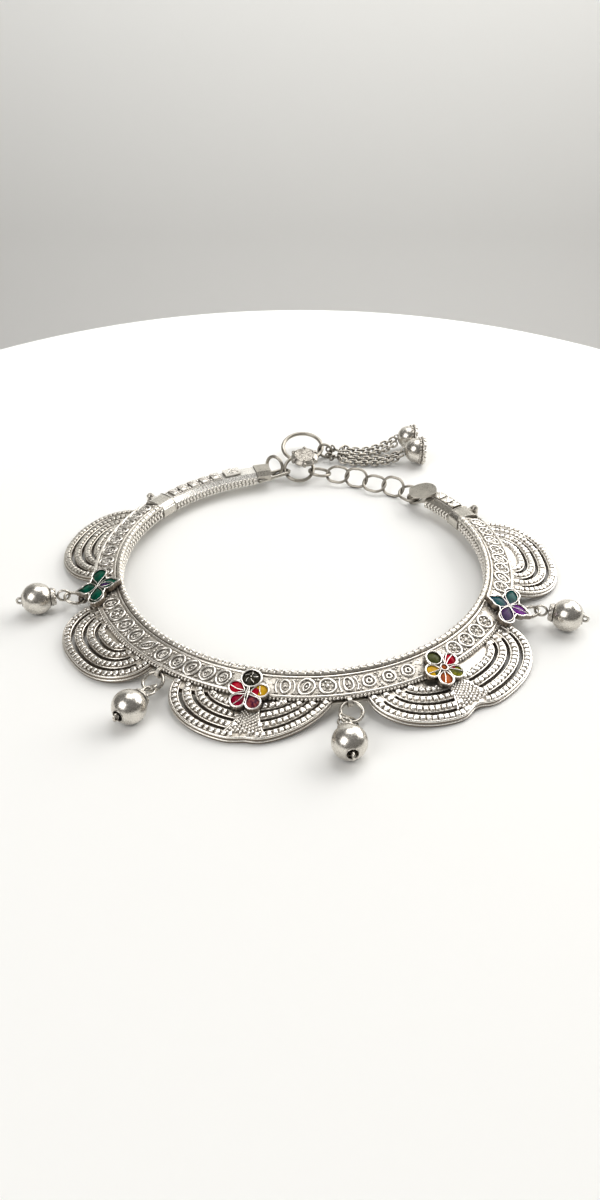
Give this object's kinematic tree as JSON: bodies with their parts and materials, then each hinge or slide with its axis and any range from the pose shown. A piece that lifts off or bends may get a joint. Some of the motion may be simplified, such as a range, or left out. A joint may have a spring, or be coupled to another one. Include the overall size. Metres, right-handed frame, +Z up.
{
  "type": "anklet",
  "caption": "Rigid silver anklet with openwork scallop panels, enamelled flower and star plaques, bell drops, hinged arms, an extender chain and a tassel, lying flat.",
  "frame": {"origin": "middle of the anklet's box seen from above, on the plane that it lies on", "axes": "+Z up, -Y towards the decorated front, +Y towards the closure, +X to the right seen from the front"},
  "size_m": [0.1206, 0.1263, 0.0073],
  "materials": {
    "silver": "polished silver with grey recesses",
    "textured_silver": "granulated silver, dark in the recesses",
    "warm_enamel": "glossy red, yellow and black enamel in a silver cup",
    "cool_enamel": "glossy green, teal and violet enamel in a silver cup"
  },
  "bodies": {
    "root": {"band": "silver", "panel_far_left": "textured_silver", "panel_left": "textured_silver", "panel_front_left": "textured_silver", "panel_front_right": "textured_silver", "panel_back_right": "textured_silver", "flower_left": "warm_enamel", "flower_right": "warm_enamel", "star_left": "cool_enamel", "star_right": "cool_enamel", "arm_left": "silver", "arm_right": "silver", "hinge_pin_left": "silver", "hinge_pin_right": "silver", "end_cap": "silver", "leaf_bail": "silver", "bell_front": "silver", "bell_front_left": "silver", "bell_left": "silver", "bell_right": "silver", "bell_pin_front": "silver", "bell_pin_front_left": "silver", "bell_pin_left": "silver", "bell_pin_right": "silver", "hanger_front": "silver", "hanger_front_left": "silver", "hanger_left": "silver", "hanger_right": "silver", "drop_link_front": "silver", "drop_link_front_left": "silver", "jump_ring": "silver", "centre_ring": "silver", "clasp_disc": "silver", "pull_link": "silver", "pull_ring": "silver", "chain_ring": "silver", "link_1": "silver", "link_2": "silver", "link_3": "silver", "link_4": "silver", "link_5": "silver", "tassel_ring": "silver", "tassel_head": "silver", "tassel_chain_1": "textured_silver", "tassel_chain_2": "textured_silver", "tassel_chain_3": "textured_silver", "tassel_chain_4": "textured_silver", "tassel_bell_back": "silver", "tassel_bell_front": "silver"}
  },
  "joints": []
}
